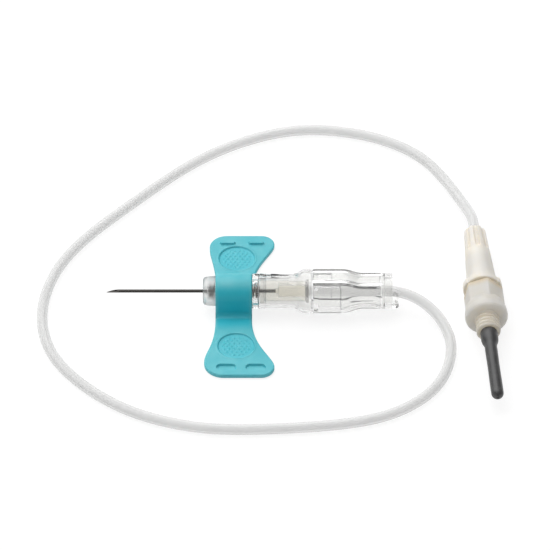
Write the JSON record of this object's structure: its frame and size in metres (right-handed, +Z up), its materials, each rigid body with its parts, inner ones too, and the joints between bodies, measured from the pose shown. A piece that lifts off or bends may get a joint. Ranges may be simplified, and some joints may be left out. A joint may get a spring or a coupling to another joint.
{
  "type": "butterfly needle",
  "caption": "Winged safety needle with a clear spring-retracting housing, folding teal wings, a flexible tube, and a luer adapter with a rubber-sleeved rear needle.",
  "frame": {"origin": "on the table under the middle of the needle, housing and wings, without the tube and what is on it", "axes": "+X along the needle from its tip to the tube, +Z up, +Y across the wings"},
  "size_m": [0.0925, 0.0918, 0.0088],
  "materials": {
    "needle_steel": "polished",
    "spring_steel": "drawn wire",
    "clear_plastic": "clear",
    "teal_vinyl": "soft satin",
    "clear_vinyl": "clear",
    "ivory_plastic": "satin",
    "frosted_plastic": "translucent",
    "dark_rubber": "matt"
  },
  "bodies": {
    "needle_line": {"needle_cannula": "needle_steel", "needle_carrier": "clear_plastic", "tubing": "clear_vinyl", "female_luer": "ivory_plastic"},
    "housing": {"safety_housing": "clear_plastic", "wing_saddle": "teal_vinyl", "retraction_spring": "spring_steel"},
    "wing_near": {"wing_near": "teal_vinyl"},
    "wing_far": {"wing_far": "teal_vinyl"},
    "lever_near": {"release_lever_near": "clear_plastic"},
    "lever_far": {"release_lever_far": "clear_plastic"},
    "adapter": {"adapter_hub": "frosted_plastic", "adapter_needle": "needle_steel", "rubber_sleeve": "dark_rubber"}
  },
  "joints": [
    {"name": "needle_retraction", "type": "slide", "parent": "needle_line", "child": "housing", "axis": [-1, 0, 0], "range_m": [0, 0.0208], "deforming": ["retraction_spring"]},
    {"name": "near_wing_fold", "type": "hinge", "parent": "housing", "child": "wing_near", "pos_m": [-0.00367, -0.00465, 0.00095], "axis": [-1, 0, 0], "range_deg": [0, 90], "stiffness_Nm_per_rad": 0.0005},
    {"name": "far_wing_fold", "type": "hinge", "parent": "housing", "child": "wing_far", "pos_m": [-0.00367, 0.00465, 0.00095], "axis": [1, 0, 0], "range_deg": [0, 90], "stiffness_Nm_per_rad": 0.0005},
    {"name": "near_lever_squeeze", "type": "hinge", "parent": "housing", "child": "lever_near", "pos_m": [0.01719, -0.00405, 0.0044], "axis": [0, 0, 1], "range_deg": [0, 3.5], "stiffness_Nm_per_rad": 0.002},
    {"name": "far_lever_squeeze", "type": "hinge", "parent": "housing", "child": "lever_far", "pos_m": [0.01719, 0.00405, 0.0044], "axis": [0, 0, -1], "range_deg": [0, 3.5], "stiffness_Nm_per_rad": 0.002},
    {"name": "adapter_pull_off", "type": "slide", "parent": "needle_line", "child": "adapter", "axis": [0.061, -0.9981, 0], "range_m": [0, 0.012]}
  ]
}
